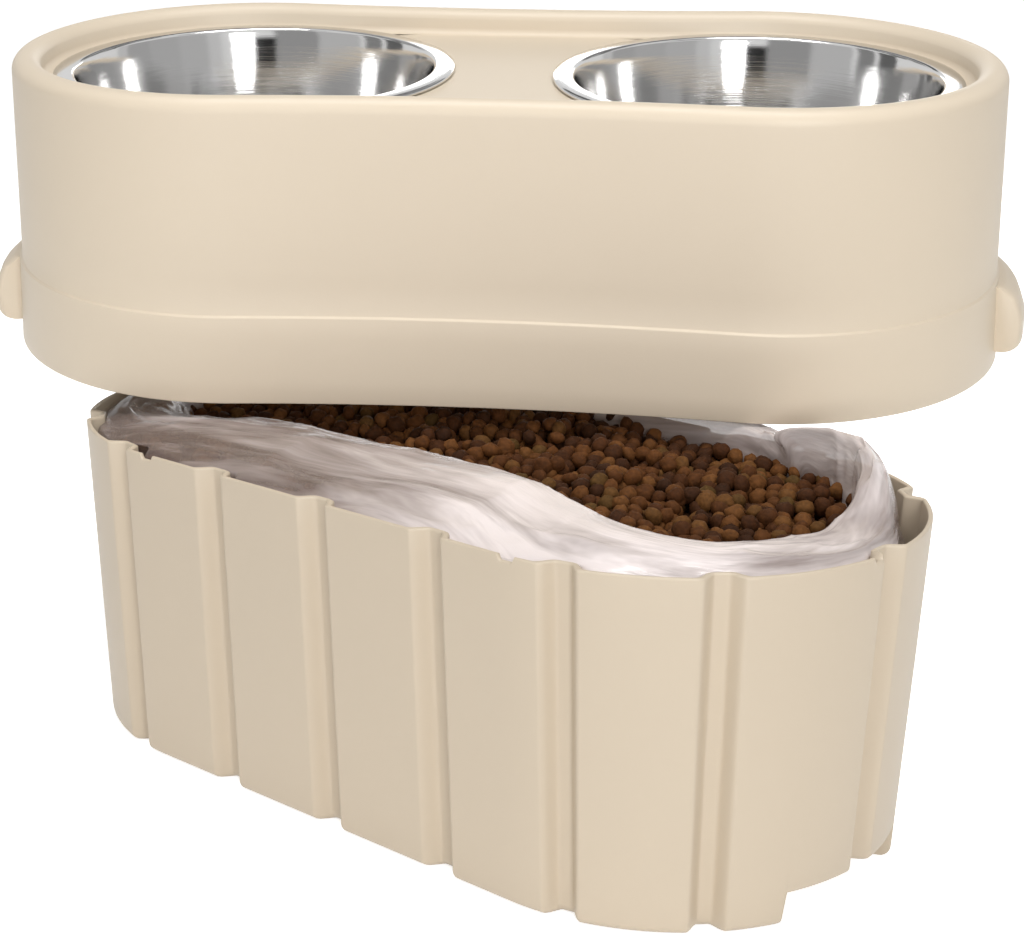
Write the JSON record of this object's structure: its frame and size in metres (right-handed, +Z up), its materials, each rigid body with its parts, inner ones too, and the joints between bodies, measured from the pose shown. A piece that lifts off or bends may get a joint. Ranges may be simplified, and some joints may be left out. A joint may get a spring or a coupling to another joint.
{
  "type": "elevated dog feeder with storage",
  "caption": "Raised pet feeder: a moulded top with lift-out steel bowls, shown lifted and turned above its fluted food bin, which holds a bag of dry food.",
  "frame": {"origin": "middle of the bin's underside", "axes": "+Z up, +X along the bin's long sides, +Y to the bin's back"},
  "size_m": [0.6124, 0.4867, 0.3895],
  "materials": {
    "bin_plastic": "satin moulded beige plastic",
    "top_plastic": "satin moulded beige plastic",
    "bowl_steel": "polished stainless steel with faint turning marks",
    "bag_film": "clear crumpled film, milky where it is gathered",
    "dry_food": "dull baked pellets, brown and reddish brown"
  },
  "bodies": {
    "bin": {"storage_bin": "bin_plastic", "food_bag": "bag_film", "kibble": "dry_food"},
    "top": {"feeder_top": "top_plastic"},
    "left_bowl": {"bowl_left": "bowl_steel"},
    "right_bowl": {"bowl_right": "bowl_steel"}
  },
  "joints": [
    {"name": "top_lift", "type": "slide", "parent": "bin", "child": "top", "axis": [0, 0, 1], "range_m": [0, 0.15]},
    {"name": "left_bowl_lift", "type": "slide", "parent": "top", "child": "left_bowl", "axis": [0.0888, -0.1245, 0.9882], "range_m": [0, 0.1]},
    {"name": "right_bowl_lift", "type": "slide", "parent": "top", "child": "right_bowl", "axis": [0.0888, -0.1245, 0.9882], "range_m": [0, 0.1]}
  ]
}
